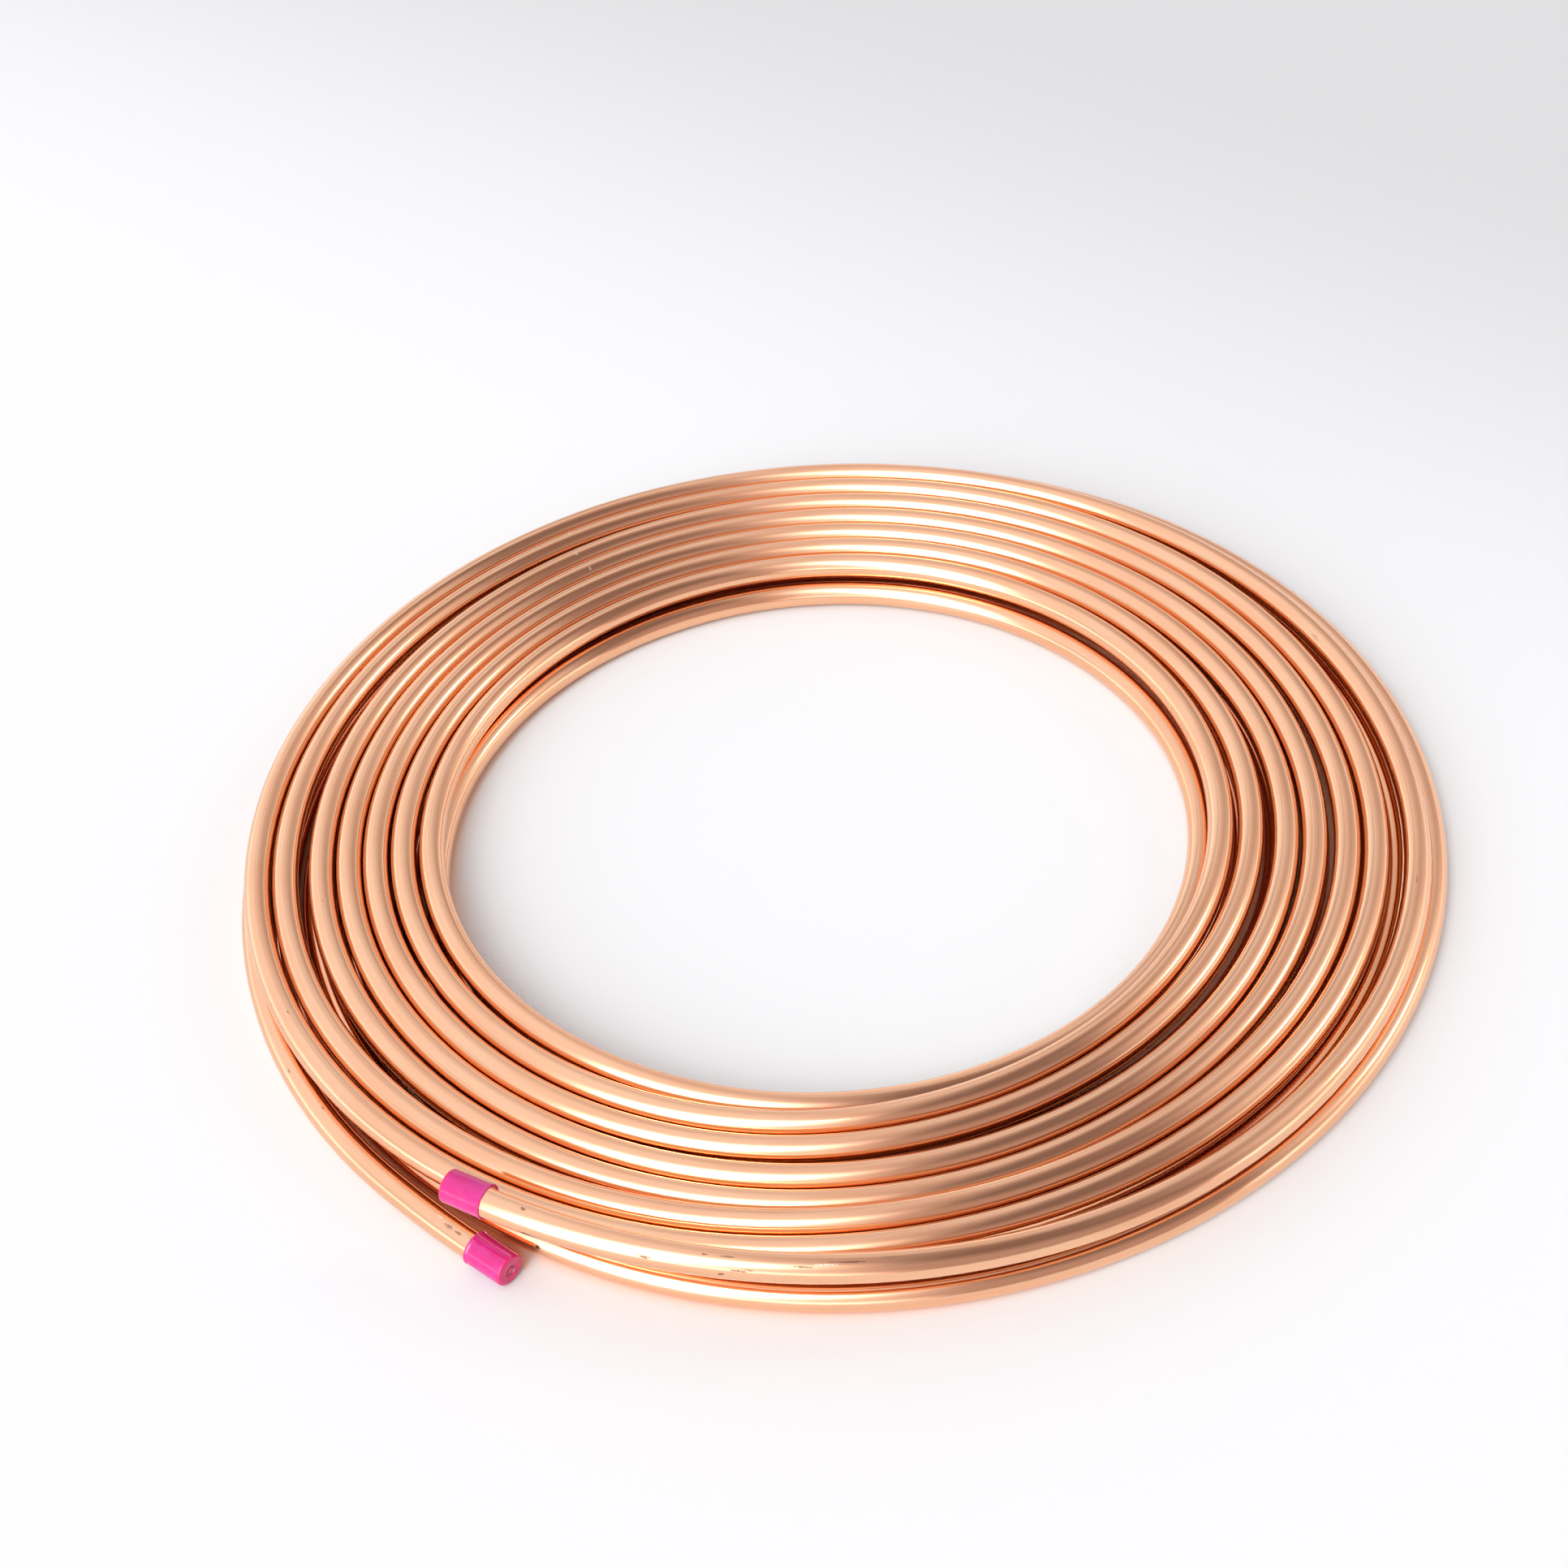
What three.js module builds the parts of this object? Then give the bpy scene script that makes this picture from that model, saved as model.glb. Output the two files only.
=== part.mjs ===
// A coil of soft copper refrigeration tube, wound in two flat layers and capped at both ends.
// Millimetres, +Z up, the coil lying on the plane z = 0.
//
// The tube is one piece. It starts at the outside of the lower layer, winds inward clockwise
// seen from above, climbs at the inside of the coil and winds outward as the upper layer.
// Places along it are in turns from its lower end.

import * as THREE from "three";

// Tube
const tubeDiameter = 9.525; // 3/8 in outside
const tubeWall = 0.813; // 0.032 in
const outerSides = 8; // a multiple of four, so that neighbouring turns face each other with flats
const boreSides = 6;

// Winding
const lowerEndBearing = 236.81; // degrees anticlockwise from +X
const lowerEndRadius = 216.3; // from the coil's axis to the tube's centre line, at the lower end
const lowerTurns = 7;
const lowerTurnGap = 2.82; // between neighbouring turns
const upperTurns = 7.0096;
const upperTurnGap = 0.48;
const layerGap = 0.2;
const stepsPerTurn = 32;

// The climb from the lower layer to the upper one
const climbStart = 0.28; // turns before the end of the lower layer
const climbEnd = 0.06; // turns after it
const outsetStart = 0.3; // turns before it, where the tube also starts to move outward
const outsetEnd = 0.035;
const climbOutset = 6.4; // so that the upper layer bears on the last two turns under it

// Neither layer is quite centred or round: the outside of the lower one lies off the axis.
const lowerShift = new THREE.Vector2(9.3, 3.0);
const upperShift = new THREE.Vector2(-2.1, 2.6);
const outOfRound = 2.28; // added along outOfRoundBearing, taken off across it
const outOfRoundBearing = 7;

// Where the springy upper turns stand further apart, or closer. What lies outside moves with them.
const looseSpots = [
  { turns: 8.08, gap: 0.3 },
  { turns: 8.6, gap: 0.7 },
  { turns: 9.4, gap: -0.2 },
  { turns: 9.77, gap: 2.6 },
  { turns: 10.08, gap: -0.4 },
  { turns: 11.68, gap: 1.1 },
  { turns: 12.18, gap: 3.0 },
  { turns: 13.71, gap: 3.9 },
];
const looseShare = 0.3; // of a turn, to each side of such a spot

// One turn has ridden up over its neighbour, and those outside it with it.
const rideTurns = 11.88;
const rideHeight = 4.8;
const rideShare = 0.26;

// Free ends
const lowerEndSpring = 3.2; // how far the end has straightened, away from the coil
const lowerEndSpringShare = 0.04; // of a turn, over which it does
const upperEndSpring = -0.5; // this one bends in
const upperEndSpringShare = 0.09;
const upperEndRise = 11.3; // above the turn beside it
const upperEndRiseShare = 0.21;
const capSeatGap = 0.2; // under the lower cap's rim
const capLiftShare = 0.1; // of a turn, over which the lower end rises to make room for its cap

// End caps
const capClearance = 0.12; // all round the tube and behind its end
const capWall = 0.4;
const capLength = 15;
const capEndThickness = 1;
const capRimHeight = 0.2;
const capRimLength = 1.2;
const capEdgeRadius = 0.7;
const capSides = 24;

const copper = new THREE.MeshStandardMaterial({ color: 0xd9956c, roughness: 0.24, metalness: 1 });
const magentaPlastic = new THREE.MeshStandardMaterial({ color: 0xd8307f, roughness: 0.35, metalness: 0 });

const radians = THREE.MathUtils.degToRad;
const lowerPitch = tubeDiameter + lowerTurnGap;
const upperPitch = tubeDiameter + upperTurnGap;
const totalTurns = lowerTurns + upperTurns;
const layerRise = tubeDiameter + layerGap;
const upperStartRadius = lowerEndRadius - lowerTurns * lowerPitch + climbOutset;
const outerCornerRadius = tubeDiameter / 2 / Math.cos(Math.PI / outerSides);
const capBoreRadius = outerCornerRadius + capClearance;
const capRadius = capBoreRadius + capWall;
const capLift = capRadius + capRimHeight - tubeDiameter / 2 + capSeatGap;

// 0 before start, 1 after end, and smooth between them.
function rise(value, start, end) {
  return THREE.MathUtils.smoothstep(value, start, end);
}

// 1 at a spot, fading to 0 a share of a turn to each side of it, and the same on every later turn.
function swell(turns, spot, share) {
  const later = Math.max(Math.round(turns - spot), 0);
  const offset = THREE.MathUtils.clamp((turns - spot - later) / share, -1, 1);
  return (1 + Math.cos(Math.PI * offset)) / 2;
}

// 0 until a share of a turn is left, and then growing faster and faster to 1 at the tube's end.
function straightening(turnsLeft, share) {
  return Math.max(1 - turnsLeft / share, 0) ** 2;
}

function lowerRadius(turns) {
  const wound = lowerEndRadius - turns * lowerPitch;
  return wound + lowerEndSpring * straightening(turns, lowerEndSpringShare);
}

function upperRadius(turns) {
  const wound = upperStartRadius + (turns - lowerTurns) * upperPitch;
  const loosened = looseSpots.map((spot) => spot.gap * swell(turns, spot.turns, looseShare));
  const sprung = upperEndSpring * straightening(totalTurns - turns, upperEndSpringShare);
  return loosened.reduce((sum, gap) => sum + gap, wound + sprung);
}

// How much of the way from the lower layer to the upper one the tube has gone.
function climbed(turns) {
  return rise(turns, lowerTurns - climbStart, lowerTurns + climbEnd);
}

// Distance from the axis after a number of turns from the lower end.
function windingRadius(turns) {
  const outset = rise(turns, lowerTurns - outsetStart, lowerTurns - outsetEnd);
  return THREE.MathUtils.lerp(lowerRadius(turns), upperRadius(turns), outset);
}

function windingHeight(turns) {
  const ridden = rideHeight * swell(turns, rideTurns, rideShare);
  const lowerEnd = capLift * (1 - rise(turns, 0, capLiftShare));
  const upperEnd = upperEndRise * rise(turns, totalTurns - upperEndRiseShare, totalTurns);
  return tubeDiameter / 2 + layerRise * climbed(turns) + ridden + lowerEnd + upperEnd;
}

// The tube's centre line, whose parameter runs from 0 at the lower end to 1 at the upper end.
class Winding extends THREE.Curve {
  getPoint(t, target = new THREE.Vector3()) {
    const turns = t * totalTurns;
    const bearing = radians(lowerEndBearing - 360 * turns);
    const oval = outOfRound * Math.cos(2 * (bearing - radians(outOfRoundBearing)));
    const radius = windingRadius(turns) + oval;
    const shift = lowerShift.clone().multiplyScalar(Math.max(1 - turns / lowerTurns, 0));
    shift.addScaledVector(upperShift, climbed(turns));
    target.set(radius * Math.cos(bearing), radius * Math.sin(bearing), windingHeight(turns));
    return target.add(new THREE.Vector3(shift.x, shift.y, 0));
  }
}

// Stations of a winding, one step apart, with level frames that keep the tube's section upright.
class TubePath extends THREE.Curve {
  constructor(winding, steps) {
    super();
    this.stations = winding.getPoints(steps);
  }

  getSpacedPoints() {
    return this.stations;
  }

  computeFrenetFrames(steps) {
    const up = new THREE.Vector3(0, 0, 1);
    const frames = { tangents: [], normals: [], binormals: [] };
    for (let i = 0; i <= steps; i++) {
      const before = this.stations[Math.max(i - 1, 0)];
      const after = this.stations[Math.min(i + 1, steps)];
      const tangent = after.clone().sub(before).normalize();
      const normal = up.clone().cross(tangent).normalize();
      frames.tangents.push(tangent);
      frames.normals.push(normal);
      frames.binormals.push(tangent.clone().cross(normal));
    }
    return frames;
  }
}

// A regular polygon with a flat side at its right.
function polygon(sides, cornerRadius) {
  const ring = [];
  for (let i = 0; i < sides; i++) {
    const angle = ((i + 0.5) * 2 * Math.PI) / sides;
    ring.push(new THREE.Vector2(cornerRadius * Math.cos(angle), cornerRadius * Math.sin(angle)));
  }
  return ring;
}

// The outside's flats and the bore's corners lie on the true circles.
function makeTube(path, steps) {
  const section = new THREE.Shape(polygon(outerSides, outerCornerRadius));
  section.holes.push(new THREE.Path(polygon(boreSides, tubeDiameter / 2 - tubeWall)));
  const geometry = new THREE.ExtrudeGeometry(section, { steps, extrudePath: path });
  const mesh = new THREE.Mesh(geometry, copper);
  mesh.name = "copper_tube";
  return mesh;
}

// A push-on cup. Its own axis is Y: open at y = 0, closed at y = capLength.
function capProfile() {
  const floor = capLength - capEndThickness;
  const points = [
    [0, floor],
    [capBoreRadius, floor],
    [capBoreRadius, 0],
    [capRadius + capRimHeight, 0],
    [capRadius + capRimHeight, capRimLength],
    [capRadius, capRimLength + capRimHeight],
  ];
  for (const degrees of [0, 30, 60, 90]) {
    const turn = radians(degrees);
    points.push([
      capRadius - capEdgeRadius * (1 - Math.cos(turn)),
      capLength - capEdgeRadius * (1 - Math.sin(turn)),
    ]);
  }
  points.push([0, capLength]);
  return points.map(([radius, y]) => new THREE.Vector2(radius, y));
}

// Seats a cap over the tube's end, which points from the station behind it to the last one.
function makeCap(name, behind, end) {
  const outward = end.clone().sub(behind).normalize();
  const mesh = new THREE.Mesh(new THREE.LatheGeometry(capProfile(), capSides), magentaPlastic);
  mesh.name = name;
  mesh.quaternion.setFromUnitVectors(new THREE.Vector3(0, 1, 0), outward);
  mesh.position.copy(end).addScaledVector(outward, capEndThickness + capClearance - capLength);
  return mesh;
}

const steps = Math.round(totalTurns * stepsPerTurn);
const path = new TubePath(new Winding(), steps);
const [first, second] = path.stations;
const [beforeLast, last] = path.stations.slice(-2);

const coil = new THREE.Group();
coil.name = "copper_tube_coil";
coil.add(makeTube(path, steps));
coil.add(makeCap("lower_end_cap", second, first));
coil.add(makeCap("upper_end_cap", beforeLast, last));

// The origin is under the middle of the coil's outline.
const middle = new THREE.Box3().setFromObject(coil).getCenter(new THREE.Vector3());
coil.position.set(-middle.x, -middle.y, 0);

export default coil;
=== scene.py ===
"""A coil of soft copper tube, wound in two flat layers, with a push-on cap on each end.

Sizes of the tube, the winding and the caps are in millimetres, and the winding's are those of
the part's source. Everything that is made in Blender is in metres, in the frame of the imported
part.
"""

import math

import bpy
import numpy as np
from mathutils import Matrix


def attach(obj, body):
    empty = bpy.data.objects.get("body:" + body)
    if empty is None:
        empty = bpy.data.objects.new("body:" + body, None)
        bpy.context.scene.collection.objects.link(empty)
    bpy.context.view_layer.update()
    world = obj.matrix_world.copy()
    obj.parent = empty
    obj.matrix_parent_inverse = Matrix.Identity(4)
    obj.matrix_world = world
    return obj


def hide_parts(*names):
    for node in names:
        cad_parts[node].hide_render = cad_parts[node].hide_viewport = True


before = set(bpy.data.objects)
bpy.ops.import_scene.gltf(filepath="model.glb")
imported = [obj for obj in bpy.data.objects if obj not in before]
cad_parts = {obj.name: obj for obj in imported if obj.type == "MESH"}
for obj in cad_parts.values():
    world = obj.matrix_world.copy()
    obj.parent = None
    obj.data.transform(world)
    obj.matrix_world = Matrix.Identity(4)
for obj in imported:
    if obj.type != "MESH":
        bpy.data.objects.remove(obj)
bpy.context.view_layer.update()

MM = 0.001

# ---------------------------------------------------------------- winding, as in the part
TUBE_DIAMETER = 9.525
TUBE_WALL = 0.813
LOWER_END_BEARING = 236.81
LOWER_END_RADIUS = 216.3
LOWER_TURNS = 7
LOWER_TURN_GAP = 2.82
UPPER_TURNS = 7.0096
UPPER_TURN_GAP = 0.48
LAYER_GAP = 0.2
CLIMB_START, CLIMB_END = 0.28, 0.06
OUTSET_START, OUTSET_END = 0.3, 0.035
CLIMB_OUTSET = 6.4
LOWER_SHIFT = (9.3, 3.0)
UPPER_SHIFT = (-2.1, 2.6)
OUT_OF_ROUND = 2.28
OUT_OF_ROUND_BEARING = 7
LOOSE_SPOTS = [
    (8.08, 0.3),
    (8.6, 0.7),
    (9.4, -0.2),
    (9.77, 2.6),
    (10.08, -0.4),
    (11.68, 1.1),
    (12.18, 3.0),
    (13.71, 3.9),
]
LOOSE_SHARE = 0.3
RIDE_TURNS, RIDE_HEIGHT, RIDE_SHARE = 11.88, 4.8, 0.26
LOWER_END_SPRING, LOWER_END_SPRING_SHARE = 3.2, 0.04
UPPER_END_SPRING, UPPER_END_SPRING_SHARE = -0.5, 0.09
UPPER_END_RISE, UPPER_END_RISE_SHARE = 11.3, 0.21
CAP_LIFT, CAP_LIFT_SHARE = 1.2, 0.1

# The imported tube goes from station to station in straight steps, a little inside its true curve.
DRAWN_IN = 0.9985

TUBE_RADIUS = TUBE_DIAMETER / 2
LOWER_PITCH = TUBE_DIAMETER + LOWER_TURN_GAP
UPPER_PITCH = TUBE_DIAMETER + UPPER_TURN_GAP
TOTAL_TURNS = LOWER_TURNS + UPPER_TURNS
LAYER_RISE = TUBE_DIAMETER + LAYER_GAP
UPPER_START_RADIUS = LOWER_END_RADIUS - LOWER_TURNS * LOWER_PITCH + CLIMB_OUTSET


def rise(value, start, end):
    """0 before start, 1 after end, and smooth between them."""
    u = np.clip((value - start) / (end - start), 0, 1)
    return u * u * (3 - 2 * u)


def swell(turns, spot, share):
    """1 at a spot, fading to 0 a share of a turn to each side, and the same on every later turn."""
    later = np.maximum(np.round(turns - spot), 0)
    offset = np.clip((turns - spot - later) / share, -1, 1)
    return (1 + np.cos(math.pi * offset)) / 2


def straightening(turns_left, share):
    """0 until a share of a turn is left, and then growing faster and faster to 1 at the end."""
    return np.maximum(1 - turns_left / share, 0) ** 2


def winding(turns):
    """The tube's centre line, in millimetres from the winding's axis, at places given in turns."""
    lower = LOWER_END_RADIUS - turns * LOWER_PITCH
    lower += LOWER_END_SPRING * straightening(turns, LOWER_END_SPRING_SHARE)
    upper = UPPER_START_RADIUS + (turns - LOWER_TURNS) * UPPER_PITCH
    for spot, gap in LOOSE_SPOTS:
        upper += gap * swell(turns, spot, LOOSE_SHARE)
    upper += UPPER_END_SPRING * straightening(TOTAL_TURNS - turns, UPPER_END_SPRING_SHARE)
    outset = rise(turns, LOWER_TURNS - OUTSET_START, LOWER_TURNS - OUTSET_END)
    bearing = np.radians(LOWER_END_BEARING - 360 * turns)
    oval = OUT_OF_ROUND * np.cos(2 * (bearing - math.radians(OUT_OF_ROUND_BEARING)))
    radius = lower + (upper - lower) * outset + oval

    climbed = rise(turns, LOWER_TURNS - CLIMB_START, LOWER_TURNS + CLIMB_END)
    outward = np.maximum(1 - turns / LOWER_TURNS, 0)
    x = radius * np.cos(bearing) + LOWER_SHIFT[0] * outward + UPPER_SHIFT[0] * climbed
    y = radius * np.sin(bearing) + LOWER_SHIFT[1] * outward + UPPER_SHIFT[1] * climbed
    z = TUBE_RADIUS + LAYER_RISE * climbed + RIDE_HEIGHT * swell(turns, RIDE_TURNS, RIDE_SHARE)
    z += CAP_LIFT * (1 - rise(turns, 0, CAP_LIFT_SHARE))
    z += UPPER_END_RISE * rise(turns, TOTAL_TURNS - UPPER_END_RISE_SHARE, TOTAL_TURNS)
    return np.stack([x * DRAWN_IN, y * DRAWN_IN, z], -1)


def lengths(points):
    """The length of the centre line from its first point to each of its points."""
    steps = np.linalg.norm(np.diff(points, axis=0), axis=1)
    return np.concatenate([[0], np.cumsum(steps)])


# ---------------------------------------------------------------- tube
RING_SIDES = 24
RINGS_PER_TURN = 144
BORE_SIDES = 12
BORE_RINGS_PER_TURN = 36
SHARP_ANGLE = math.radians(40)

# Hand-wound tube is never quite even: its surface wanders inward and back in these waves.
UNEVENNESS = 0.05
RIPPLES = 8
RIPPLES_PER_TURN = (3, 26)
RIPPLE_LOBES = (0, 4)  # round the tube, the second of them never reached

# What a point of the skin sees is tried at these angles to each side of straight out, against
# neighbours a little thinner than they are, so that a touch doesn't count.
LOOK_ANGLES = np.radians(np.arange(-80, 81, 16))
BLOCKING_RADIUS = TUBE_RADIUS * 0.99
OUT_OF_SIGHT = 1e4

# The tube's texture map: its skin cut into strips, laid in two columns. The bottom row has the
# bore in two strips and, beside them, a spot for each of the tube's end faces.
MAP_STRIPS = 42
MAP_ROWS = 22
STRIP_START, STRIP_LENGTH = 0.02, 0.96  # of a column
STRIP_MARGIN = 0.1  # of a row
BORE_STRIPS = 2
BORE_MAP_WIDTH = 0.9
END_SPOT, NEXT_END_SPOT = 0.925, 0.05
END_SPOT_SCALE = 0.0035  # of the map, for a millimetre


def make_mesh(name, vertices, faces):
    mesh = bpy.data.meshes.new(name)
    mesh.from_pydata(vertices.tolist(), [], faces)
    mesh.polygons.foreach_set("use_smooth", np.ones(len(faces), bool))
    mesh.update()
    mesh.set_sharp_from_angle(angle=SHARP_ANGLE)
    piece = bpy.data.objects.new(name, mesh)
    bpy.context.scene.collection.objects.link(piece)
    return piece


def ripple(turns, angle):
    """A smooth unevenness, mostly from -1 to 1, over places along the tube and angles round it."""
    dice = np.random.default_rng(7)
    total = np.zeros(np.broadcast(turns, angle).shape)
    for _ in range(RIPPLES):
        per_turn = dice.uniform(*RIPPLES_PER_TURN)
        lobes = dice.integers(*RIPPLE_LOBES)
        start, twist = dice.uniform(0, 2 * math.pi, 2)
        total += np.cos(2 * math.pi * per_turn * turns + start) * np.cos(lobes * angle + twist)
    return total / (RIPPLES / 2)


def angles_round(sides):
    """Angles round the tube, from its inner side over the top."""
    return np.arange(sides) * 2 * math.pi / sides


def skin(turns, sides, radius, unevenness):
    """Rings of points round the centre line, and where each lies on the straightened tube."""
    points = winding(turns)
    tangents = np.gradient(points, axis=0)
    tangents /= np.linalg.norm(tangents, axis=1, keepdims=True)
    inward = np.cross(tangents, [0.0, 0.0, 1.0])
    inward /= np.linalg.norm(inward, axis=1, keepdims=True)
    upward = np.cross(inward, tangents)

    angle = angles_round(sides)
    local = radius + unevenness * (ripple(turns[:, None], angle[None, :]) - 1)
    across = (local * np.cos(angle))[:, :, None] * inward[:, None, :]
    up = (local * np.sin(angle))[:, :, None] * upward[:, None, :]
    straight = np.stack(
        [
            np.repeat(lengths(points)[:, None], sides, 1),
            np.repeat(radius * np.cos(angle)[None, :], len(turns), 0),
            np.repeat(radius * np.sin(angle)[None, :], len(turns), 0),
        ],
        -1,
    )
    return points[:, None, :] + across + up, straight


def openness(turns, sides):
    """How much of the room each point of the skin sees past the neighbouring turns, from 0 to 1."""
    shares = turns % 1
    count = int(math.ceil(TOTAL_TURNS))
    neighbours = shares[:, None] + np.arange(count)[None, :]
    places = winding(neighbours.ravel()).reshape(*neighbours.shape, 3)
    distance = np.hypot(places[..., 0], places[..., 1])
    height = places[..., 2]
    distance[neighbours > TOTAL_TURNS] = OUT_OF_SIGHT
    own = winding(turns)
    angle = angles_round(sides)
    start_r = np.hypot(own[:, 0], own[:, 1])[:, None] - TUBE_RADIUS * np.cos(angle)
    start_z = own[:, 2:3] + TUBE_RADIUS * np.sin(angle)
    seen = np.zeros(start_r.shape)
    weight = 0
    for tilt in LOOK_ANGLES:
        ray = angle + tilt
        ray_r, ray_z = -np.cos(ray), np.sin(ray)
        free = np.ones(start_r.shape, bool)
        for k in range(count):
            to_r = distance[:, k : k + 1] - start_r
            to_z = height[:, k : k + 1] - start_z
            ahead = to_r * ray_r + to_z * ray_z
            beside = np.abs(to_r * ray_z - to_z * ray_r)
            itself = (np.round(turns - shares) == k)[:, None]
            free &= ~((ahead > 0) & (beside < BLOCKING_RADIUS) & ~itself)
        seen += free * math.cos(tilt)
        weight += math.cos(tilt)
    return seen / weight


def ring_faces(rings, sides, first):
    """Quads between neighbouring rings of vertices, the first of which starts at index first."""
    i = np.arange(rings - 1)[:, None] * sides + first
    j = np.arange(sides)[None, :]
    k = (j + 1) % sides
    return np.stack([i + j, i + k, i + sides + k, i + sides + j], -1).reshape(-1, 4)


def ring_map(rings, sides, strips, first_row):
    """Places on the texture map of the corners of ring_faces, in the same order."""
    per_strip = math.ceil((rings - 1) / strips)
    i = np.repeat(np.arange(rings - 1), sides)
    j = np.tile(np.arange(sides), rings - 1)
    strip = i // per_strip
    local = i - strip * per_strip
    corners = []
    for step, side in ((0, 0), (0, 1), (1, 1), (1, 0)):
        u = (strip % 2 + STRIP_START + STRIP_LENGTH * (local + step) / per_strip) / 2
        share = STRIP_MARGIN + (1 - 2 * STRIP_MARGIN) * (j + side) / sides
        v = (first_row + strip // 2 + share) / MAP_ROWS
        corners.append(np.stack([u, v], -1))
    return np.stack(corners, 1)


def end_faces(outer_first, bore_first):
    """The end of the wall: two outside edges meet one edge of the bore in each face."""
    faces = []
    for j in range(BORE_SIDES):
        outside = [outer_first + (2 * j + k) % RING_SIDES for k in range(3)]
        faces.append(outside + [bore_first + (j + 1) % BORE_SIDES, bore_first + j])
    return faces


def make_tube():
    outer_turns = np.linspace(0, TOTAL_TURNS, round(TOTAL_TURNS * RINGS_PER_TURN) + 1)
    bore_turns = np.linspace(0, TOTAL_TURNS, round(TOTAL_TURNS * BORE_RINGS_PER_TURN) + 1)
    outer, outer_straight = skin(outer_turns, RING_SIDES, TUBE_RADIUS, UNEVENNESS)
    bore, bore_straight = skin(bore_turns, BORE_SIDES, TUBE_RADIUS - TUBE_WALL, 0)
    base = len(outer) * RING_SIDES
    last_outer = base - RING_SIDES
    last_bore = base + (len(bore) - 1) * BORE_SIDES

    outer_quads = ring_faces(len(outer), RING_SIDES, 0)[:, ::-1]
    outer_map = ring_map(len(outer), RING_SIDES, MAP_STRIPS, 1)[:, ::-1]
    bore_quads = ring_faces(len(bore), BORE_SIDES, base)
    bore_map = ring_map(len(bore), BORE_SIDES, BORE_STRIPS, 0) * (BORE_MAP_WIDTH, 1)
    ends = [face[::-1] for face in end_faces(0, base)] + end_faces(last_outer, last_bore)
    faces = outer_quads.tolist() + bore_quads.tolist() + ends
    vertices = np.concatenate([outer.reshape(-1, 3), bore.reshape(-1, 3)]) * MM
    piece = make_mesh("tube_skin", vertices, faces)

    # The copper's material reads where a point lies on the straightened tube, and how open it is;
    # the openness sets where shade and reflected light are painted into its colour.
    mesh = piece.data
    straight = np.concatenate([outer_straight.reshape(-1, 3), bore_straight.reshape(-1, 3)])
    attribute = mesh.attributes.new("tube", "FLOAT_VECTOR", "POINT")
    attribute.data.foreach_set("vector", straight.ravel())
    seen = openness(outer_turns, RING_SIDES).ravel()
    attribute = mesh.attributes.new("openness", "FLOAT", "POINT")
    attribute.data.foreach_set("value", np.concatenate([seen, np.zeros(bore[..., 0].size)]))

    spots = []
    for number, face in enumerate(ends):
        across = END_SPOT + NEXT_END_SPOT * (number // BORE_SIDES)
        centre = np.array([across, 0.5 / MAP_ROWS])
        spots += [centre + straight[vertex, 1:] * END_SPOT_SCALE for vertex in face]
    places = np.concatenate([outer_map.reshape(-1, 2), bore_map.reshape(-1, 2), np.array(spots)])
    mesh.uv_layers.new(name="OFBake").data.foreach_set("uv", places.ravel())
    return piece


# ---------------------------------------------------------------- caps
CAP_BORE = TUBE_RADIUS + 0.03
CAP_RADIUS = 5.62
CAP_LENGTH = 15.0
CAP_FLOOR = 1.0  # thickness of the closed end
CAP_END_GAP = 0.1  # between it and the tube's end
CAP_INNER_CORNER = 0.3
CAP_MOUTH = 0.25  # how far the open rim's inner edge is rounded away
CAP_LIP = 0.15
CAP_LIP_LENGTH = 0.9
CAP_LIP_EDGE = 0.12
CAP_CORNER = 0.8
CAP_TAPER = 0.12  # from the lip to the closed end
CAP_SIDES = 64
GATE_RADIUS = 1.7  # the ring that the mould's gate leaves on the closed end, round a nub
DIRECTION_STEP = 3 / RINGS_PER_TURN  # turns, over which a free end's direction is taken


def cap_profile():
    """A push-on cup as (radius, distance from its open rim), from centre to centre."""
    floor = CAP_LENGTH - CAP_FLOOR
    lip = CAP_RADIUS + CAP_LIP
    points = [
        # hollow
        (0, floor),
        (CAP_BORE - CAP_INNER_CORNER, floor),
        (CAP_BORE, floor - CAP_INNER_CORNER),
        # rounded mouth
        (CAP_BORE, CAP_MOUTH),
        (CAP_BORE + 0.1, 0.06),
        (CAP_BORE + CAP_MOUTH, 0),
        # lip
        (lip - CAP_LIP_EDGE, 0),
        (lip, CAP_LIP_EDGE),
        (lip, CAP_LIP_LENGTH - 0.1),
        (lip - 0.05, CAP_LIP_LENGTH),
        # tapering side
        (CAP_RADIUS + 0.02, CAP_LIP_LENGTH + 0.25),
        (CAP_RADIUS - 0.02, CAP_LIP_LENGTH + 0.6),
        (CAP_RADIUS - CAP_TAPER / 2, CAP_LENGTH / 2),
    ]
    for degrees in range(0, 91, 15):
        turn = math.radians(degrees)
        radius = CAP_RADIUS - CAP_TAPER - CAP_CORNER * (1 - math.cos(turn))
        points.append((radius, CAP_LENGTH - CAP_CORNER * (1 - math.sin(turn))))
    ring_and_nub = (
        (GATE_RADIUS + 0.4, 0),
        (GATE_RADIUS + 0.3, 0.05),
        (GATE_RADIUS + 0.15, 0.45),
        (GATE_RADIUS - 0.15, 0.5),
        (GATE_RADIUS - 0.4, 0.2),
        (0.75, 0.16),
        (0.6, 0.1),
        (0.4, 0.01),
        (0, 0),
    )
    return points + [(radius, CAP_LENGTH - depth) for radius, depth in ring_and_nub]


def direction(end, behind):
    return (end - behind) / np.linalg.norm(end - behind)


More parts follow.
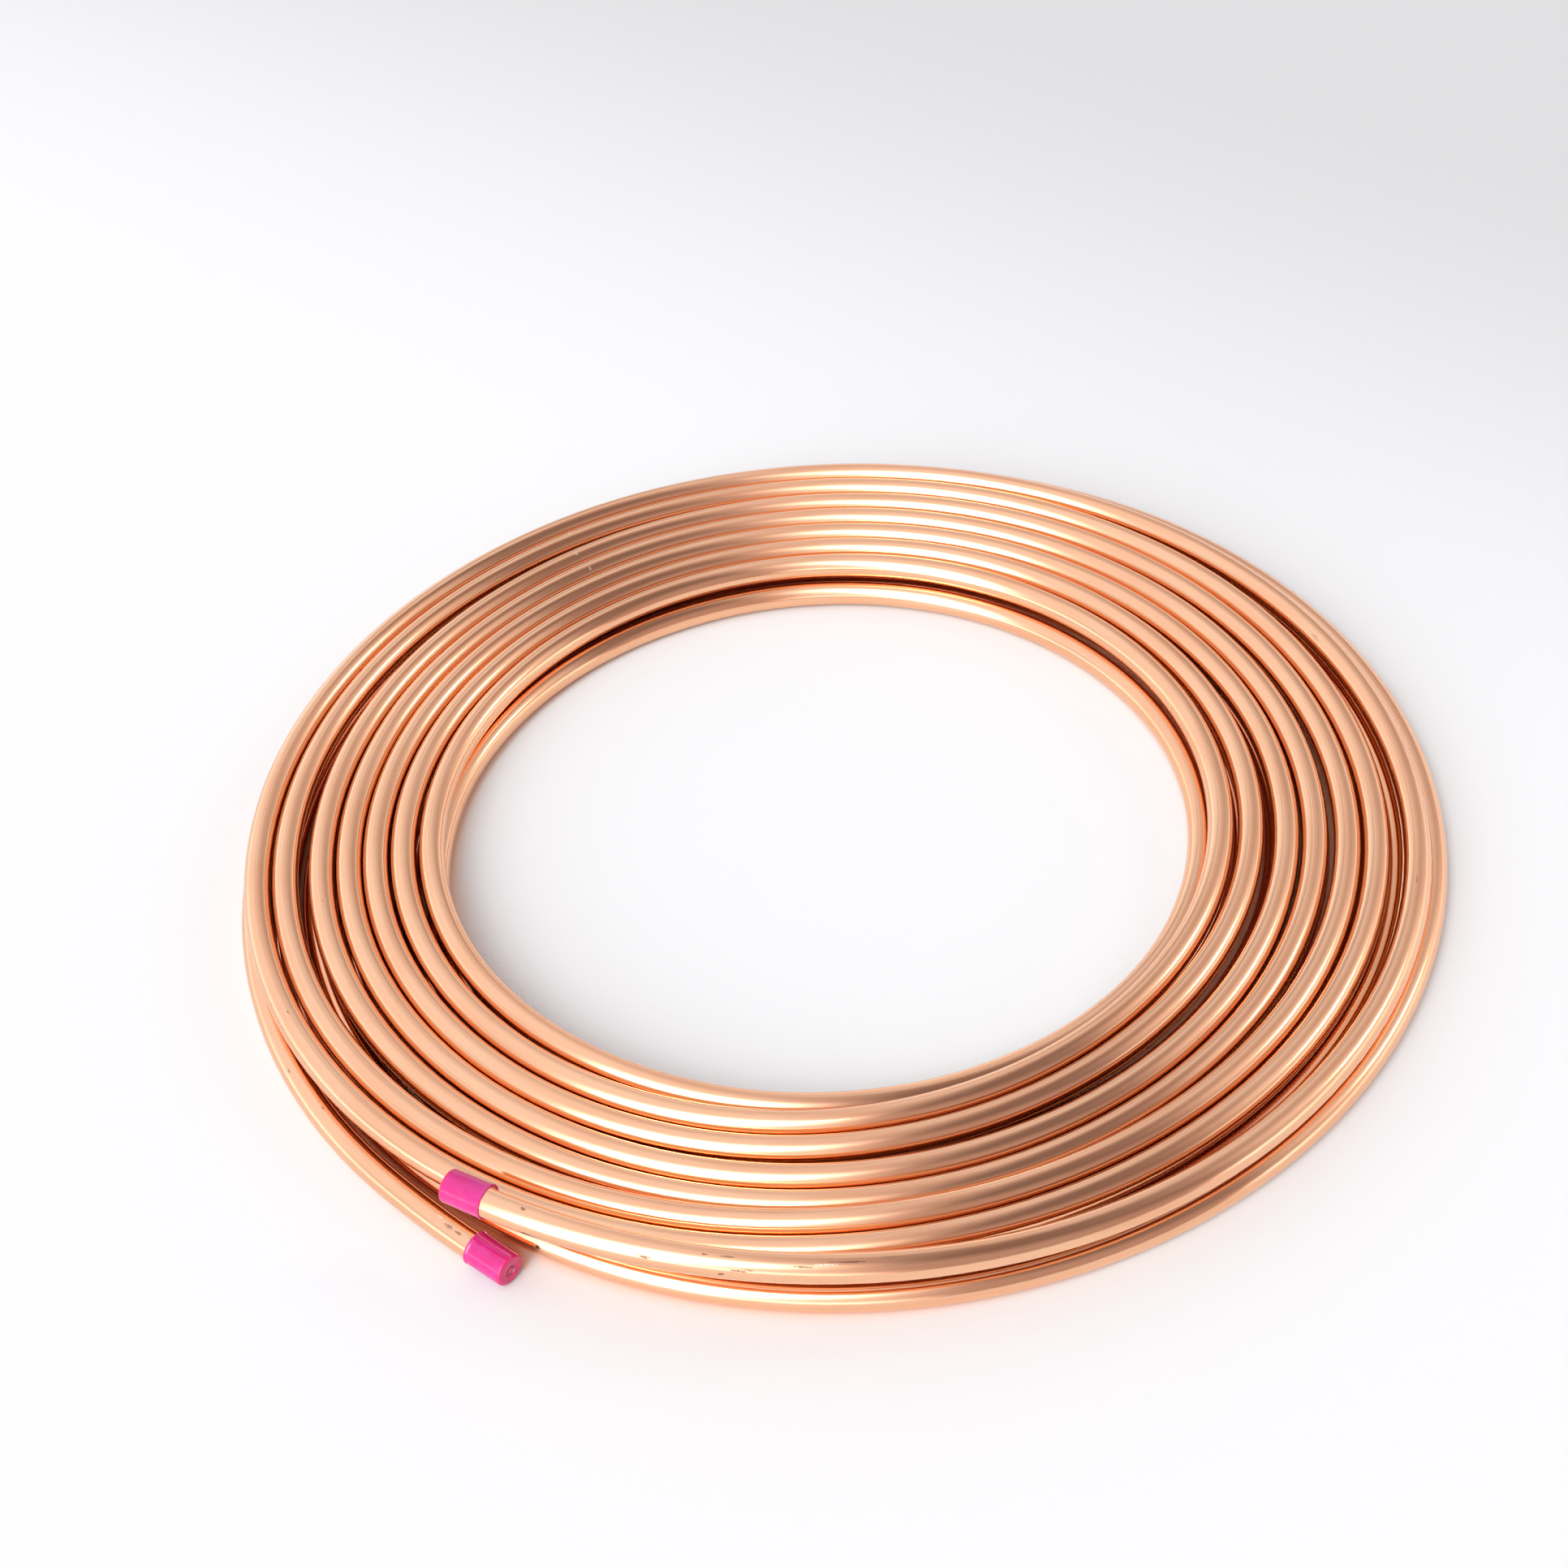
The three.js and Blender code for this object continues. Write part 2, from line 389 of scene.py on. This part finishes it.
def make_cap(name, end, behind):
    """Turns the profile about the line that leads out of the tube's end."""
    axis = direction(end, behind)
    base = end + axis * (CAP_FLOOR + CAP_END_GAP - CAP_LENGTH)
    side = np.cross(axis, [0.0, 0.0, 1.0])
    side /= np.linalg.norm(side)
    other = np.cross(axis, side)
    angle = angles_round(CAP_SIDES)[:, None]
    circle = np.cos(angle) * side + np.sin(angle) * other
    vertices, rings = [], []
    for radius, distance in cap_profile():
        centre = base + axis * distance
        count = CAP_SIDES if radius else 1
        rings.append(range(len(vertices), len(vertices) + count))
        vertices += list(centre + radius * circle) if radius else [centre]
    faces = []
    for near, far in zip(rings[:-1], rings[1:]):
        for j in range(CAP_SIDES):
            k = (j + 1) % CAP_SIDES
            if len(near) == 1:
                faces.append([near[0], far[k], far[j]])
            elif len(far) == 1:
                faces.append([near[j], near[k], far[0]])
            else:
                faces.append([near[j], near[k], far[k], far[j]])
    return make_mesh(name, np.array(vertices) * MM, faces)


# Each free end, and a point a little way behind it
lower_end = winding(np.array([0.0, DIRECTION_STEP]))
upper_end = winding(np.array([TOTAL_TURNS, TOTAL_TURNS - DIRECTION_STEP]))

tube = make_tube()
lower_cap = make_cap("cap_lower", *lower_end)
upper_cap = make_cap("cap_upper", *upper_end)

# The part's origin is under the middle of the coil's outline.
corners = np.array([v.co[:] for v in tube.data.vertices])
middle = (corners.min(0) + corners.max(0)) / 2
for piece, node, finish in (
    (tube, "copper_tube", "copper"),
    (lower_cap, "lower_end_cap", "cap_plastic"),
    (upper_cap, "upper_end_cap", "cap_plastic"),
):
    piece.data.transform(Matrix.Translation((-middle[0], -middle[1], 0)))
    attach(piece, "root")
    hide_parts(node)

# Mirrored in the copper, the caps would leave red streaks, and the photo shows none.
lower_cap.visible_glossy = False
upper_cap.visible_glossy = False


def from_axis(x, y, z=0.0):
    """A place in metres in the part's frame, from millimetres from the winding's axis."""
    return (x * MM - middle[0], y * MM - middle[1], z * MM)


# ---------------------------------------------------------------- shader building
class Nodes:
    """Adds nodes to a node tree. A value is a number, a colour, or another node's output."""

    def __init__(self, tree):
        self.tree = tree

    def add(self, kind, inputs=(), **settings):
        node = self.tree.nodes.new(kind)
        for name, value in settings.items():
            setattr(node, name, value)
        for key, value in dict(inputs).items():
            self.feed(node.inputs[key], value)
        return node

    def feed(self, socket, value):
        if isinstance(value, bpy.types.NodeSocket):
            self.tree.links.new(value, socket)
        else:
            socket.default_value = value

    def calculate(self, operation, *values):
        inputs = enumerate(values)
        return self.add("ShaderNodeMath", inputs, operation=operation).outputs[0]

    def vector(self, operation, *values):
        """The result of a calculation with vectors, where it is a vector."""
        inputs = enumerate(values)
        return self.add("ShaderNodeVectorMath", inputs, operation=operation).outputs["Vector"]

    def measure(self, operation, *values):
        """The result of a calculation with vectors, where it is a number."""
        inputs = enumerate(values)
        return self.add("ShaderNodeVectorMath", inputs, operation=operation).outputs["Value"]

    def split(self, vector):
        return self.add("ShaderNodeSeparateXYZ", {0: vector}).outputs

    def ease(self, value, start, end, low=0.0, high=1.0):
        """low on the start side, high on the end side, and smooth between them."""
        inputs = {"Value": value, "From Min": start, "From Max": end, "To Min": low, "To Max": high}
        node = self.add("ShaderNodeMapRange", inputs, interpolation_type="SMOOTHSTEP")
        return node.outputs["Result"]

    def blend(self, factor, first, second):
        inputs = {"Factor": factor, "A": first, "B": second}
        return self.add("ShaderNodeMix", inputs).outputs["Result"]

    def blend_colours(self, factor, first, second):
        # These are the sockets that a mix of colours uses.
        inputs = {0: factor, 6: first, 7: second}
        return self.add("ShaderNodeMix", inputs, data_type="RGBA").outputs[2]

    def stretched_noise(self, place, stretch, detail, seed):
        """Noise whose grain is 1 / stretch long each way, on its own part of the noise field."""
        moved = self.vector("MULTIPLY_ADD", place, stretch, (seed * 7.3, seed * 3.1, seed * 5.7))
        noise = self.add("ShaderNodeTexNoise", {"Vector": moved, "Scale": 1.0, "Detail": detail})
        return noise.outputs["Fac"]


def new_material(name):
    material = bpy.data.materials.new(name)
    material.use_nodes = True
    shader = next(n for n in material.node_tree.nodes if n.type == "BSDF_PRINCIPLED")
    return material, Nodes(material.node_tree), shader


def add_bump(nodes, shader, height, strength, distance):
    inputs = {"Height": height, "Strength": strength, "Distance": distance}
    bump = nodes.add("ShaderNodeBump", inputs)
    nodes.feed(shader.inputs["Normal"], bump.outputs["Normal"])


# ---------------------------------------------------------------- copper
COPPER_BRIGHT = (0.94, 0.55, 0.338, 1)
COPPER_DULL = (0.90, 0.49, 0.29, 1)
COPPER_SEAM_PAINTED_GLOW = (0.95, 0.54, 0.21, 1)  # painted reflection: the golden light that neighbouring turns throw into the seams where they touch
COPPER_BURIED_PAINTED_SHADE = (0.86, 0.38, 0.26, 1)  # painted shade on the lower layer, where the upper one covers it
COPPER_MARK = (0.16, 0.07, 0.045, 1)
COPPER_SCRAPE = (1.0, 0.80, 0.62, 1)
PAINTED_SEAM_FROM, PAINTED_SEAM_TO = 0.36, 0.08  # openness, over which the painted shade and painted reflection come in
LAYER_CHANGE = 200  # millimetres of tube, to each side of the lower layer's end
LINES_DULL = 0.35  # how much of the dull colour the fine lines have
SPECKS_DARK = 0.6

# Roughness, each pair where a pattern is weak and where it is strong
PATCH_ROUGHNESS = (0.12, 0.17)
LINE_ROUGHNESS = (-0.01, 0.02)  # this and the next are added to it
RUB_ROUGHNESS = (0.0, 0.04)
MARK_ROUGHNESS = 0.2

# How much of the bump each pattern has
SPECK_HEIGHT, LINE_HEIGHT, RUB_HEIGHT = -3.0, 0.1, 0.3
BUMP_STRENGTH, BUMP_DISTANCE = 0.06, 0.0001

# Nicks and scrapes: turns from the lower end, degrees round the tube from its inner side over
# the top, length and width in millimetres, and how dark it is, or below 0 how bright.
MARKS = [
    (0.0140, 103, 2.0, 0.48, 0.7),
    (0.0169, 103, 2.2, 0.64, 0.7),
    (0.0204, 91, 1.2, 0.40, -0.9),
    (0.0671, 88, 1.0, 0.40, 0.6),
    (0.0829, 118, 1.1, 0.32, 0.6),
    (7.9150, 118, 8.8, 0.28, -0.6),
    (10.3249, 60, 0.6, 0.96, -0.6),
    (11.3249, 75, 0.6, 0.96, -0.6),
    (12.3284, 97, 0.6, 0.96, -0.6),
    (13.0908, 91, 1.0, 0.32, 0.6),
    (13.6056, 49, 3.0, 0.80, 0.3),
    (13.7072, 85, 1.8, 0.40, 0.4),
    (13.9004, 93, 3.2, 0.32, 0.5),
    (13.9115, 103, 6.9, 0.32, 0.8),
    (13.9156, 112, 4.2, 0.28, -0.9),
    (13.9209, 121, 2.8, 0.36, 0.8),
    (13.9331, 142, 1.8, 0.40, 0.7),
    (13.9355, 148, 2.8, 0.32, 0.8),
    (13.9384, 100, 2.2, 0.32, 0.7),
    (13.9395, 169, 1.0, 0.56, 0.8),
    (13.9436, 100, 0.9, 0.40, 0.8),
    (13.9576, 145, 2.8, 0.56, 0.9),
    (13.9886, 91, 1.1, 0.64, 0.7),
]
MARK_EDGE, MARK_MIDDLE = 1.0, 0.45  # squares of shares of its length and width
RAGGED_OUT, RAGGED_IN = 0.7, -0.6  # how far noise moves a mark's edge


def length_to(turns):
    """Length of tube from the lower end to a place given in turns, in millimetres."""
    points = winding(np.linspace(0, turns, 2 + round(turns * RINGS_PER_TURN)))
    return float(lengths(points)[-1])


def mark(nodes, place, ragged, turns, degrees, length, width):
    """1 in the middle of a mark, and 0 outside it."""
    angle = math.radians(degrees)
    across, up = TUBE_RADIUS * math.cos(angle), TUBE_RADIUS * math.sin(angle)
    centre = np.array([length_to(turns), across, up])
    reach = np.array([length, width, width])
    offset = nodes.vector("MULTIPLY_ADD", place, tuple(1 / reach), tuple(-centre / reach))
    square = nodes.measure("DOT_PRODUCT", offset, offset)
    return nodes.ease(nodes.calculate("ADD", square, ragged), MARK_EDGE, MARK_MIDDLE)


def copper_material():
    material, nodes, shader = new_material("drawn_copper")
    place = nodes.add("ShaderNodeAttribute", attribute_name="tube").outputs["Vector"]
    seen = nodes.add("ShaderNodeAttribute", attribute_name="openness").outputs["Fac"]

    # Drawing leaves fine lines along the tube, and handling dulls it in long soft patches.
    lines = nodes.stretched_noise(place, (0.006, 2.4, 2.4), 3.0, 1)
    patches = nodes.stretched_noise(place, (0.02, 0.16, 0.16), 3.0, 2)
    rubs = nodes.stretched_noise(place, (0.05, 0.7, 0.7), 2.0, 3)
    specks = nodes.ease(nodes.stretched_noise(place, (0.7, 1.6, 1.6), 1.0, 4), 0.76, 0.82)
    fine = nodes.stretched_noise(place, (1.1, 3.5, 3.5), 2.0, 5)

    colour = nodes.blend_colours(nodes.ease(patches, 0.35, 0.7), COPPER_BRIGHT, COPPER_DULL)
    lined = nodes.ease(lines, 0.5, 0.75, 0.0, LINES_DULL)
    colour = nodes.blend_colours(lined, colour, COPPER_DULL)
    # Painted shade and painted reflection: where neighbouring turns close the skin in, its colour
    # turns golden in the seams and darker under the upper layer.
    along, _, _ = nodes.split(place)
    layer_end = length_to(LOWER_TURNS)
    upper = nodes.ease(along, layer_end - LAYER_CHANGE, layer_end + LAYER_CHANGE)
    painted_seam_light = nodes.blend_colours(upper, COPPER_BURIED_PAINTED_SHADE, COPPER_SEAM_PAINTED_GLOW)
    colour = nodes.blend_colours(nodes.ease(seen, PAINTED_SEAM_FROM, PAINTED_SEAM_TO), colour, painted_seam_light)

    ragged = nodes.ease(fine, 0.3, 0.7, RAGGED_OUT, RAGGED_IN)
    marked = specks
    dark = nodes.calculate("MULTIPLY", specks, SPECKS_DARK)
    bright = 0.0
    for turns, degrees, length, width, depth in MARKS:
        here = mark(nodes, place, ragged, turns, degrees, length, width)
        marked = nodes.calculate("MAXIMUM", marked, here)
        if depth > 0:
            dark = nodes.calculate("MAXIMUM", dark, nodes.calculate("MULTIPLY", here, depth))
        else:
            bright = nodes.calculate("MAXIMUM", bright, nodes.calculate("MULTIPLY", here, -depth))
    colour = nodes.blend_colours(dark, colour, COPPER_MARK)
    colour = nodes.blend_colours(bright, colour, COPPER_SCRAPE)
    nodes.feed(shader.inputs["Base Color"], colour)

    roughness = nodes.ease(patches, 0.3, 0.7, *PATCH_ROUGHNESS)
    roughness = nodes.calculate("ADD", roughness, nodes.ease(lines, 0.4, 0.7, *LINE_ROUGHNESS))
    roughness = nodes.calculate("ADD", roughness, nodes.ease(rubs, 0.6, 0.75, *RUB_ROUGHNESS))
    roughness = nodes.calculate("MULTIPLY_ADD", marked, MARK_ROUGHNESS, roughness)
    nodes.feed(shader.inputs["Roughness"], roughness)

    height = nodes.calculate("MULTIPLY", lines, LINE_HEIGHT)
    height = nodes.calculate("MULTIPLY_ADD", specks, SPECK_HEIGHT, height)
    height = nodes.calculate("MULTIPLY_ADD", rubs, RUB_HEIGHT, height)
    add_bump(nodes, shader, height, BUMP_STRENGTH, BUMP_DISTANCE)
    shader.inputs["Metallic"].default_value = 1.0
    return material


# ---------------------------------------------------------------- plastic
CAP_SIDE = (0.51, 0.008, 0.155, 1)
CAP_PALE = (0.51, 0.018, 0.195, 1)
CAP_END = (0.60, 0.010, 0.14, 1)
# Painted shade in the groove of the gate's ring.
CAP_GATE_PAINTED_SHADE = (0.28, 0.004, 0.05, 1)
CAP_ROUGHNESS = (0.10, 0.15)
CAP_IOR = 1.55
CAP_END_FROM, CAP_END_TO = -0.0005, 0.0008  # metres out from the tube's end
GATE_EDGE, GATE_MIDDLE = 0.0005, 0.0002  # metres from the ring
GATE_SHARE = 0.8
CLOUD_STRETCH, GRAIN_STRETCH = (260.0, 260.0, 260.0), (1500.0, 1500.0, 1500.0)
GRAIN_STRENGTH, GRAIN_DISTANCE = 0.08, 0.00008
SUBSURFACE_WEIGHT = 0.3
SUBSURFACE_RADIUS = (1.0, 0.25, 0.5)
SUBSURFACE_SCALE = 0.002


def cap_material(name, end, behind):
    """Glossy plastic that light enters, in cloudy patches, and redder at its closed end."""
    material, nodes, shader = new_material(name)
    place = nodes.add("ShaderNodeTexCoord").outputs["Object"]
    offset = nodes.vector("SUBTRACT", place, from_axis(*end))
    reach = nodes.measure("DOT_PRODUCT", offset, tuple(direction(end, behind)))
    cloud = nodes.stretched_noise(place, CLOUD_STRETCH, 2.0, 1)
    grain = nodes.stretched_noise(place, GRAIN_STRETCH, 3.0, 2)
    colour = nodes.blend_colours(nodes.ease(cloud, 0.3, 0.7), CAP_SIDE, CAP_PALE)
    closed = nodes.ease(reach, CAP_END_FROM, CAP_END_TO)
    colour = nodes.blend_colours(closed, colour, CAP_END)
    # Painted shade: the groove of the gate's ring on the closed end is darkened.
    radius = nodes.measure("LENGTH", offset)
    from_ring = nodes.calculate("SUBTRACT", radius, GATE_RADIUS * MM)
    from_ring = nodes.calculate("ABSOLUTE", from_ring)
    ring = nodes.ease(from_ring, GATE_EDGE, GATE_MIDDLE, 0.0, GATE_SHARE)
    colour = nodes.blend_colours(ring, colour, CAP_GATE_PAINTED_SHADE)
    nodes.feed(shader.inputs["Base Color"], colour)
    nodes.feed(shader.inputs["Roughness"], nodes.ease(cloud, 0.3, 0.7, *CAP_ROUGHNESS))
    add_bump(nodes, shader, grain, GRAIN_STRENGTH, GRAIN_DISTANCE)
    shader.inputs["IOR"].default_value = CAP_IOR
    shader.inputs["Subsurface Weight"].default_value = SUBSURFACE_WEIGHT
    shader.inputs["Subsurface Radius"].default_value = SUBSURFACE_RADIUS
    shader.inputs["Subsurface Scale"].default_value = SUBSURFACE_SCALE
    return material


tube.data.materials.append(copper_material())
lower_cap.data.materials.append(cap_material("lower_cap_plastic", *lower_end))
upper_cap.data.materials.append(cap_material("upper_cap_plastic", *upper_end))

# ---------------------------------------------------------------- floor
FLOOR_SIZE = 12.0
PAPER = (0.665, 0.682, 0.665, 1)
PAPER_PAINTED_SHADE_FAR_RIGHT = (0.505, 0.515, 0.502, 1)
PAPER_PAINTED_COPPER_LIGHT = (0.86, 0.50, 0.32, 1)  # painted copper-coloured reflected light and shade, where the paper is lit by the copper alone
PAPER_PAINTED_END_GAP_LIGHT = (0.88, 0.40, 0.20, 1)  # painted copper reflection and shade beside the lower end, which stands away from the coil
PAPER_ROUGHNESS, PAPER_SPECULAR = 0.6, 0.2

# Painted shade: the paper darkens away from the camera and, this much as fast, to the right, over
# these metres, where the light falls off.
DARKENS_RIGHT = 0.8
DARKENS_FROM, DARKENS_TO = 0.15, 0.75

# Where the painted copper light and shade start and end. Each pair says where it is absent and
# where it is full, in millimetres. Under the coil they are circles, the outer one round a middle of
# its own.
UNDER_COIL_FROM = (132, 142)
UNDER_COIL_TO = (208, 200)
UNDER_COIL_TO_MIDDLE = (5, 1.5)

# The end gap is measured from the middle of the lower layer's outside.
END_GAP_FROM = (195, 200)
END_GAP_TO = (214.5, 211.5)
END_GAP_RIGHT = (-112.5, -119.5)
END_GAP_FRONT = (-50, -80)


def fade(nodes, value, limits):
    """0 at the first of two limits, 1 at the second, and smooth between them."""
    return nodes.ease(value, limits[0] * MM, limits[1] * MM)


def add_floor():
    half = FLOOR_SIZE / 2
    mesh = bpy.data.meshes.new("floor")
    square = [(-half, -half, 0), (half, -half, 0), (half, half, 0), (-half, half, 0)]
    mesh.from_pydata(square, [], [(0, 1, 2, 3)])
    floor = bpy.data.objects.new("floor", mesh)
    bpy.context.scene.collection.objects.link(floor)

    material, nodes, shader = new_material("paper")
    place = nodes.add("ShaderNodeTexCoord").outputs["Object"]
    across, away, _ = nodes.split(place)
    # Painted shade: the light's fall-off away and to the right, in the paper's colour.
    painted_falloff = nodes.calculate("MULTIPLY_ADD", across, DARKENS_RIGHT, away)
    painted_falloff = nodes.ease(painted_falloff, DARKENS_FROM, DARKENS_TO)
    colour = nodes.blend_colours(painted_falloff, PAPER, PAPER_PAINTED_SHADE_FAR_RIGHT)

    # Painted copper-coloured reflected light and shade on the paper under the coil.
    radius = nodes.measure("DISTANCE", place, from_axis(0, 0))
    under = fade(nodes, radius, UNDER_COIL_FROM)
    radius = nodes.measure("DISTANCE", place, from_axis(*UNDER_COIL_TO_MIDDLE))
    under = nodes.calculate("MULTIPLY", under, fade(nodes, radius, UNDER_COIL_TO))
    colour = nodes.blend_colours(under, colour, PAPER_PAINTED_COPPER_LIGHT)

    # Painted reflection of the copper, with shade, on the paper in the gap beside the lower end.
    offset = nodes.vector("SUBTRACT", place, from_axis(*LOWER_SHIFT))
    radius = nodes.measure("LENGTH", offset)
    aside, ahead, _ = nodes.split(offset)
    gap = fade(nodes, radius, END_GAP_TO)
    for value, limits in (
        (radius, END_GAP_FROM),
        (aside, END_GAP_RIGHT),
        (ahead, END_GAP_FRONT),
    ):
        gap = nodes.calculate("MULTIPLY", gap, fade(nodes, value, limits))
    colour = nodes.blend_colours(gap, colour, PAPER_PAINTED_END_GAP_LIGHT)
    nodes.feed(shader.inputs["Base Color"], colour)
    shader.inputs["Roughness"].default_value = PAPER_ROUGHNESS
    shader.inputs["Specular IOR Level"].default_value = PAPER_SPECULAR
    mesh.materials.append(material)


add_floor()

# ---------------------------------------------------------------- light
# Radiances of a studio, on a map of the sky that has its zenith at (0, 0) and its horizon at 1:
# across to the right, and away from the camera.
WALL_LEFT, WALL_RIGHT = 1.09, 0.58
WALL_TURNS = (-0.1, 0.35)  # across, where the left wall gives way to the right one
WALL_TINT_LEFT, WALL_TINT_RIGHT = (1.0, 1.0, 1.06, 1), (1.07, 0.98, 0.98, 1)

# The walls are lighter near the horizon, and most of all on the camera's side.
LOW_WALL_LEFT, LOW_WALL_RIGHT = 2.2, 1.6
LOW_WALL_TURNS = (-0.5, 0.5)
LOW_WALL_AWAY = (-0.5, 0.6)
LOW_WALL_NEAR, LOW_WALL_FAR = 1.15, 0.68
LOW_WALL_HEIGHT = (0.4, 0.1)  # upward part of the direction

# Shaded places of the walls: where, how far they reach both ways, and how much they take off.
SHADES = [
    ((0.05, 0.95), (0.6, 0.35), 0.17),
    ((-0.13, 0.85), (0.12, 0.35), 0.4),
    ((-0.88, -0.13), (0.16, 0.2), 0.35),
]

SOFTBOX = 7.5
SOFTBOX_PLACE = (-0.375, -0.485)
SOFTBOX_REACH = (0.20, 0.38)
SOFTBOX_TURN = math.radians(-47)

# The dark room is behind the camera and to its right, up to a slanting edge.
DARK_ROOM, DARK_ROOM_FRONT = 0.2, 0.43
DARK_ROOM_AWAY = (-0.15, -0.6)
DARK_TINT = (1.22, 0.97, 0.96, 1)
DARK_LEFT = (-0.06, 0.19)
DARK_SLANT = 1.43
DARK_EDGE = (0.79, 0.49)

REFLECTOR = 6.5
REFLECTOR_PLACE = (0.66, 0.14)
REFLECTOR_REACH = (0.055, 0.11)
REFLECTOR_GLOW = 0.4
GLOW_REACH = (0.3, 0.3)

BACKDROP = 0.8  # what the camera itself sees
SPOT_EDGE = 1.5  # the higher, the harder the edges of all these spots


def spot(nodes, across, away, place, reach, turn=0.0):
    """1 at a place on the map, fading out softly over its reach, both ways."""
    x = nodes.calculate("SUBTRACT", across, place[0])
    y = nodes.calculate("SUBTRACT", away, place[1])
    total = 0.0
    for cos, sin, length in (
        (math.cos(turn), math.sin(turn), reach[0]),
        (-math.sin(turn), math.cos(turn), reach[1]),
    ):
        turned = nodes.calculate("MULTIPLY", x, cos / length)
        turned = nodes.calculate("MULTIPLY_ADD", y, sin / length, turned)
        total = nodes.calculate("MULTIPLY_ADD", turned, turned, total)
    total = nodes.calculate("POWER", total, SPOT_EDGE)
    return nodes.calculate("EXPONENT", nodes.calculate("MULTIPLY", total, -1.0))


def light_studio():
    world = bpy.data.worlds.new("studio")
    bpy.context.scene.world = world
    world.use_nodes = True
    nodes = Nodes(world.node_tree)
    x, y, height = nodes.split(nodes.add("ShaderNodeTexCoord").outputs["Generated"])
    spread = nodes.calculate("POWER", nodes.calculate("ADD", height, 1.0), -0.5)
    across = nodes.calculate("MULTIPLY", x, spread)
    away = nodes.calculate("MULTIPLY", y, spread)

    light = nodes.ease(across, *WALL_TURNS, WALL_LEFT, WALL_RIGHT)
    low_wall = nodes.ease(across, *LOW_WALL_TURNS, LOW_WALL_LEFT, LOW_WALL_RIGHT)
    nearness = nodes.ease(away, *LOW_WALL_AWAY, LOW_WALL_NEAR, LOW_WALL_FAR)
    low_wall = nodes.calculate("MULTIPLY", low_wall, nearness)
    light = nodes.blend(nodes.ease(height, *LOW_WALL_HEIGHT), light, low_wall)
    for place, reach, depth in SHADES:
        shade = spot(nodes, across, away, place, reach)
        light = nodes.calculate("MULTIPLY_ADD", shade, -depth, light)

    glow = spot(nodes, across, away, SOFTBOX_PLACE, SOFTBOX_REACH, SOFTBOX_TURN)
    light = nodes.calculate("MULTIPLY_ADD", glow, SOFTBOX, light)

    edge = nodes.ease(nodes.calculate("MULTIPLY_ADD", across, DARK_SLANT, away), *DARK_EDGE)
    dark = nodes.calculate("MULTIPLY", nodes.ease(across, *DARK_LEFT), edge)
    room = nodes.ease(away, *DARK_ROOM_AWAY, DARK_ROOM, DARK_ROOM_FRONT)
    light = nodes.blend(dark, light, room)

    glow = spot(nodes, across, away, REFLECTOR_PLACE, GLOW_REACH)
    light = nodes.calculate("MULTIPLY_ADD", glow, REFLECTOR_GLOW, light)
    glow = spot(nodes, across, away, REFLECTOR_PLACE, REFLECTOR_REACH)
    light = nodes.calculate("MULTIPLY_ADD", glow, REFLECTOR - REFLECTOR_GLOW, light)
    tint = nodes.blend_colours(nodes.ease(across, *WALL_TURNS), WALL_TINT_LEFT, WALL_TINT_RIGHT)
    tint = nodes.blend_colours(dark, tint, DARK_TINT)

    direct = nodes.add("ShaderNodeLightPath").outputs["Is Camera Ray"]
    background = next(n for n in world.node_tree.nodes if n.type == "BACKGROUND")
    nodes.feed(background.inputs["Strength"], nodes.blend(direct, light, BACKDROP))
    nodes.feed(background.inputs["Color"], nodes.blend_colours(direct, tint, (1.0, 1.0, 1.0, 1)))


light_studio()

view = bpy.context.scene.view_settings
view.view_transform = "Standard"
view.look = "None"
view.exposure = 0.0
view.gamma = 1.0

# ---------------------------------------------------------------- camera
FOCAL_PIXELS = 2900.0
FRAME_PIXELS = 1932.0
SENSOR_WIDTH = 36.0
CLOSEST_SEEN = 0.01
PITCH, ROLL = math.radians(44.25), math.radians(-4.67)
CAMERA_PLACE = (-13.07, -602.87, 617.25)  # millimetres from the winding's axis


def add_camera():
    forward = np.array([0.0, math.cos(PITCH), -math.sin(PITCH)])
    right = np.array([1.0, 0.0, 0.0])
    up = np.cross(right, forward)
    rolled_right = right * math.cos(ROLL) + up * math.sin(ROLL)
    rolled_up = up * math.cos(ROLL) - right * math.sin(ROLL)
    data = bpy.data.cameras.new("camera")
    data.sensor_width = SENSOR_WIDTH
    data.lens = SENSOR_WIDTH * FOCAL_PIXELS / FRAME_PIXELS
    data.clip_start = CLOSEST_SEEN
    camera = bpy.data.objects.new("camera", data)
    bpy.context.scene.collection.objects.link(camera)
    rows = np.stack([rolled_right, rolled_up, -forward, from_axis(*CAMERA_PLACE)], 1)
    camera.matrix_world = Matrix(rows.tolist() + [[0, 0, 0, 1]])
    bpy.context.scene.camera = camera


add_camera()
